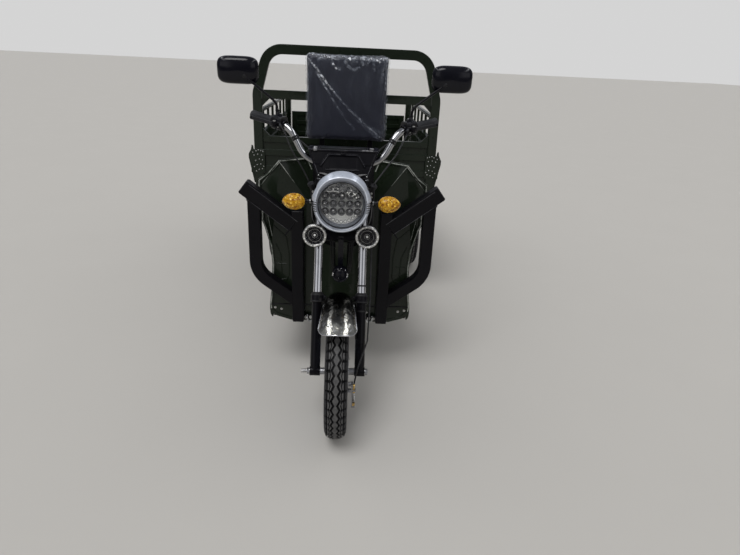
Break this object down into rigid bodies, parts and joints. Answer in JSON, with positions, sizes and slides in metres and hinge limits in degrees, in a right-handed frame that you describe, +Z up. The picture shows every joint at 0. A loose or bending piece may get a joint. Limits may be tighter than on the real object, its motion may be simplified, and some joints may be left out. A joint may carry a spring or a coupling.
{
  "type": "electric cargo tricycle",
  "caption": "Three-wheeled electric cargo motorcycle with a steered front fork, leg shield with crash bars, rider seat with backrest and a drop-side bed behind a hoop.",
  "frame": {"origin": "on the ground below the middle of the overall length and width", "axes": "+X to the rider's left, +Y to the rear (the vehicle faces -Y), +Z up"},
  "size_m": [1.088, 3.067, 1.415],
  "materials": {
    "body_paint": "glossy dark olive green",
    "black_paint": "glossy black",
    "chassis_paint": "satin black",
    "chrome": "polished",
    "steel": "zinc plated",
    "silver": "satin silver",
    "black_plastic": "fine grained",
    "gloss_black": "gloss black",
    "reflector": "metallised grey",
    "clear_lens": "clear",
    "amber_lens": "translucent amber",
    "red_lens": "translucent red",
    "mirror_face": "silvered",
    "grip_rubber": "ribbed",
    "tyre_rubber": "worn black",
    "vinyl": "dark grey vinyl",
    "battery_case": "plain"
  },
  "bodies": {
    "frame": {"frame_neck": "body_paint", "frame_rails": "chassis_paint", "foot_floor": "body_paint", "leg_shield": "body_paint", "inner_shield": "black_plastic", "crash_bars": "black_paint", "brake_pedal": "steel", "seat_box": "body_paint", "battery_pack": "battery_case", "backrest_frame": "black_paint", "seat_backrest": "vinyl", "bed_frame": "body_paint", "bed_floor": "body_paint", "bed_front": "body_paint", "bed_hoop": "body_paint", "corner_latches": "body_paint", "bed_hinges": "body_paint", "spring_hangers": "chassis_paint", "rear_axle": "chassis_paint", "leaf_springs": "chassis_paint", "rear_mudguards": "black_plastic", "tail_lamps": "red_lens"},
    "steering": {"front_axle": "steel", "fork_legs": "black_paint", "fork_tubes": "chrome", "lower_clamp": "black_paint", "upper_clamp": "black_paint", "front_fender": "chrome", "front_brake": "steel", "horn": "gloss_black", "headlamp_shell": "gloss_black", "headlamp_bezel": "silver", "headlamp_insert": "reflector", "headlamp_lens": "clear_lens", "lamp_brackets": "black_paint", "spot_lamps": "gloss_black", "spot_rings": "chrome", "signal_lenses": "amber_lens", "signal_backs": "gloss_black", "handlebar": "chrome", "grips": "grip_rubber", "hand_controls": "black_plastic", "mirrors": "black_plastic", "mirror_glass": "mirror_face", "dash_cowl": "gloss_black", "brake_cable": "black_plastic"},
    "front_wheel": {"front_tyre": "tyre_rubber", "front_rim": "silver"},
    "rear_wheel_left": {"rear_tyre_left": "tyre_rubber", "rear_rim_left": "silver"},
    "rear_wheel_right": {"rear_tyre_right": "tyre_rubber", "rear_rim_right": "silver"},
    "side_left": {"side_wall_left": "body_paint", "guard_posts_left": "body_paint"},
    "side_right": {"side_wall_right": "body_paint", "guard_posts_right": "body_paint"},
    "tail": {"tailgate": "body_paint"},
    "seat": {"seat_pan": "chassis_paint", "seat_cushion": "vinyl"}
  },
  "joints": [
    {"name": "steer", "type": "hinge", "parent": "frame", "child": "steering", "pos_m": [0, -1.24272, 0.23098], "axis": [0, 0.4226, 0.9063], "range_deg": [-40, 40]},
    {"name": "front_wheel_spin", "type": "hinge", "parent": "steering", "child": "front_wheel", "pos_m": [0, -1.2835, 0.25], "axis": [1, 0, 0], "continuous": true},
    {"name": "rear_wheel_left_spin", "type": "hinge", "parent": "frame", "child": "rear_wheel_left", "pos_m": [0.46, 0.6165, 0.25], "axis": [1, 0, 0], "continuous": true},
    {"name": "rear_wheel_right_spin", "type": "hinge", "parent": "frame", "child": "rear_wheel_right", "pos_m": [-0.46, 0.6165, 0.25], "axis": [1, 0, 0], "continuous": true},
    {"name": "side_left_drop", "type": "hinge", "parent": "frame", "child": "side_left", "pos_m": [0.522, 0.7515, 0.592], "axis": [0, 1, 0], "range_deg": [0, 180]},
    {"name": "side_right_drop", "type": "hinge", "parent": "frame", "child": "side_right", "pos_m": [-0.522, 0.7515, 0.592], "axis": [0, -1, 0], "range_deg": [0, 180]},
    {"name": "tailgate_drop", "type": "hinge", "parent": "frame", "child": "tail", "pos_m": [0, 1.5255, 0.592], "axis": [-1, 0, 0], "range_deg": [0, 180]},
    {"name": "seat_tilt", "type": "hinge", "parent": "frame", "child": "seat", "pos_m": [0, -0.4935, 0.694], "axis": [1, 0, 0], "range_deg": [0, 75]}
  ]
}
